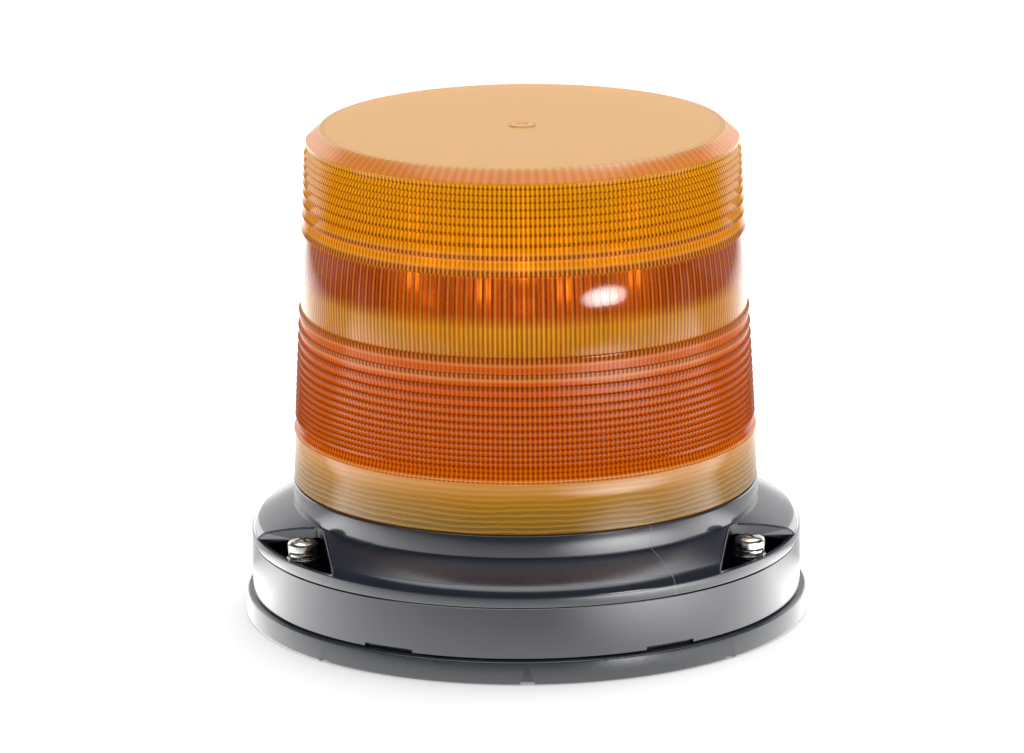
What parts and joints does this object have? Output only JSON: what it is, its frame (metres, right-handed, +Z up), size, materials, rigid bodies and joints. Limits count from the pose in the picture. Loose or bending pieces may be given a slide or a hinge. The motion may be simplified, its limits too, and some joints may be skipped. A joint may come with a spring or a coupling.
{
  "type": "led strobe beacon",
  "caption": "Amber LED strobe beacon with a screw-on ribbed drum lens on a round black base, held by screws and a rubber gasket.",
  "frame": {"origin": "centre of the mounting gasket's underside, the plane that rests on the mounting surface", "axes": "+Z up through the lens, the height being the shortest extent; front towards -Y, between two mounting screws; +X to the viewer's right"},
  "size_m": [0.1798, 0.1798, 0.1578],
  "materials": {
    "rubber": "matte moulded EPDM",
    "black_plastic": "glossy black moulded plastic",
    "amber": "clear amber polycarbonate",
    "steel": "bright stainless steel",
    "aluminium": "die-cast aluminium",
    "board_green": "green solder mask",
    "board_white": "white solder mask",
    "led_yellow": "yellow phosphor and clear silicone",
    "can_blue": "printed sleeve",
    "copper": "enamelled copper wire",
    "chip_black": "black epoxy",
    "terminal_green": "green nylon",
    "lead_red": "red PVC insulation",
    "lead_black": "black PVC insulation"
  },
  "bodies": {
    "base": {"base_housing": "black_plastic", "board_screw_front": "steel", "board_screw_left": "steel", "board_screw_right": "steel", "bulk_capacitor": "can_blue", "cable_grommet": "rubber", "cap_screw": "steel", "cover_screw_front": "steel", "cover_screw_left": "steel", "cover_screw_right": "steel", "driver_board": "board_green", "filter_inductor": "copper", "flash_controller": "chip_black", "flat_washer_left": "steel", "flat_washer_rear": "steel", "flat_washer_right": "steel", "heat_sink": "aluminium", "heat_sink_screw_left": "steel", "heat_sink_screw_rear": "steel", "heat_sink_screw_right": "steel", "lead_negative": "lead_black", "lead_positive": "lead_red", "led_1_1": "led_yellow", "led_1_2": "led_yellow", "led_2_1": "led_yellow", "led_2_2": "led_yellow", "led_3_1": "led_yellow", "led_3_2": "led_yellow", "led_4_1": "led_yellow", "led_4_2": "led_yellow", "led_5_1": "led_yellow", "led_5_2": "led_yellow", "led_6_1": "led_yellow", "led_6_2": "led_yellow", "led_board_1": "board_white", "led_board_2": "board_white", "led_board_3": "board_white", "led_board_4": "board_white", "led_board_5": "board_white", "led_board_6": "board_white", "link_board": "board_green", "lock_washer_left": "steel", "lock_washer_rear": "steel", "lock_washer_right": "steel", "mounting_gasket": "rubber", "mounting_screw_left": "steel", "mounting_screw_rear": "steel", "mounting_screw_right": "steel", "terminal_block": "terminal_green", "top_cover": "black_plastic", "tower_cap": "black_plastic"},
    "seal": {"lens_seal": "rubber"},
    "lens": {"lens": "amber"}
  },
  "joints": [
    {"name": "lens_rise", "type": "slide", "parent": "base", "child": "seal", "axis": [0, 0, 1], "range_m": [0, 0.0096]},
    {"name": "lens_turn", "type": "hinge", "parent": "seal", "child": "lens", "pos_m": [0, 0, 0.0437], "axis": [0, 0, 1], "range_deg": [0, 900]}
  ],
  "couplings": [
    {"joint": "lens_rise", "follows": "lens_turn", "m_per_rad": 0.00060479}
  ]
}
